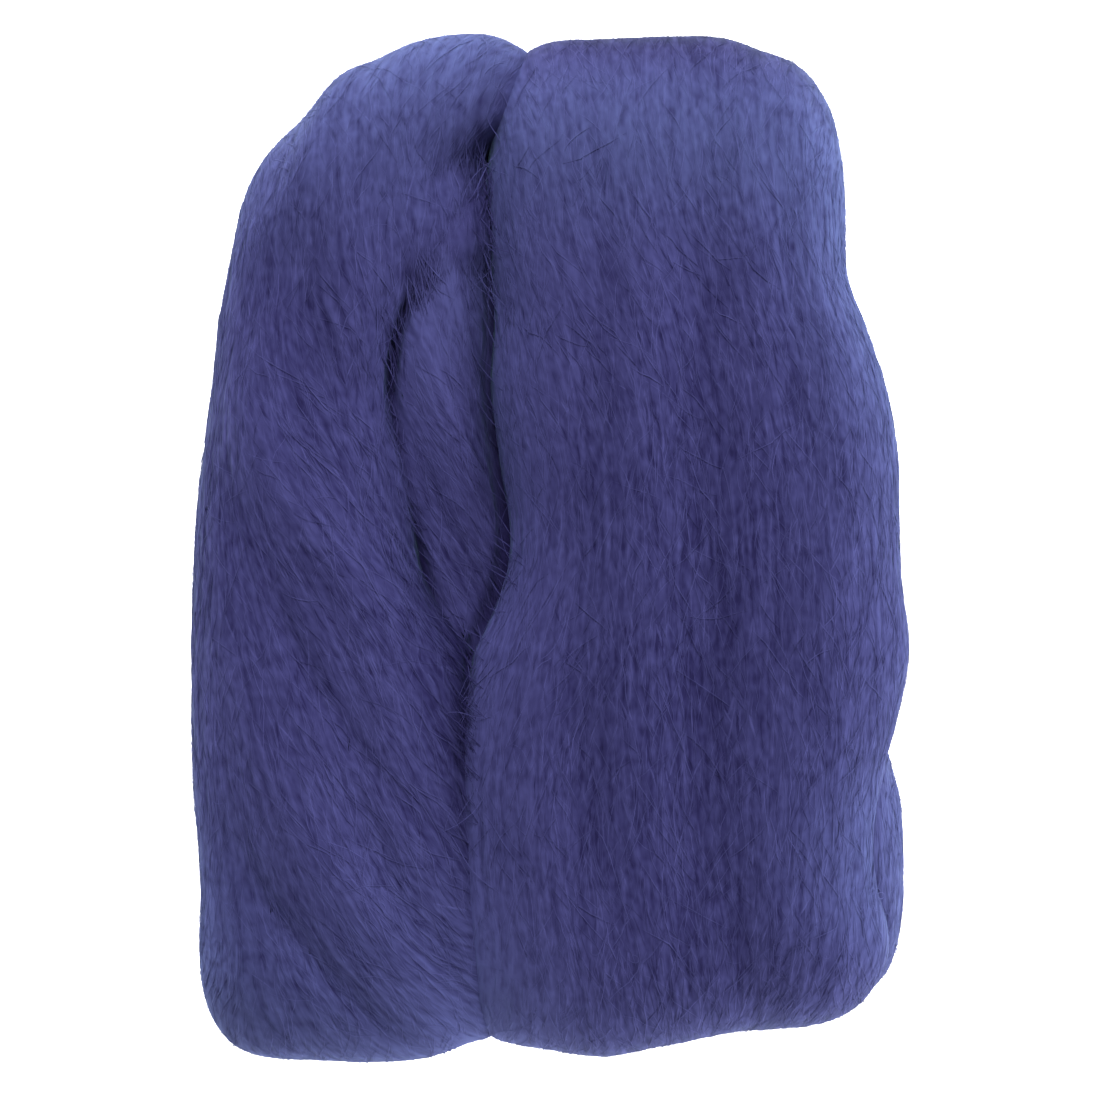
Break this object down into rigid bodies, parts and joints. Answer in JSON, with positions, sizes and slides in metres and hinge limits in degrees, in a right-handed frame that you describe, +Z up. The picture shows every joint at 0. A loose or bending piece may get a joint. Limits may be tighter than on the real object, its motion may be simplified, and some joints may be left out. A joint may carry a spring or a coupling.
{
  "type": "hank of wool roving",
  "caption": "Soft flat hank of carded wool roving, folded back and forth into broad side-by-side passes, for felting and spinning.",
  "frame": {"origin": "under the middle of the hank's box, on the surface that it rests on", "axes": "+X across the hank towards its broader pass, +Y along its folds, +Z up out of the surface that it lies on"},
  "size_m": [0.1179, 0.1704, 0.0398],
  "materials": {
    "wool": "deep blue-violet carded wool, matt and fuzzy, with fine combed fibre along each fold and a pale bloom at its edges"
  },
  "bodies": {
    "root": {"roving_hank": "wool"}
  },
  "joints": []
}
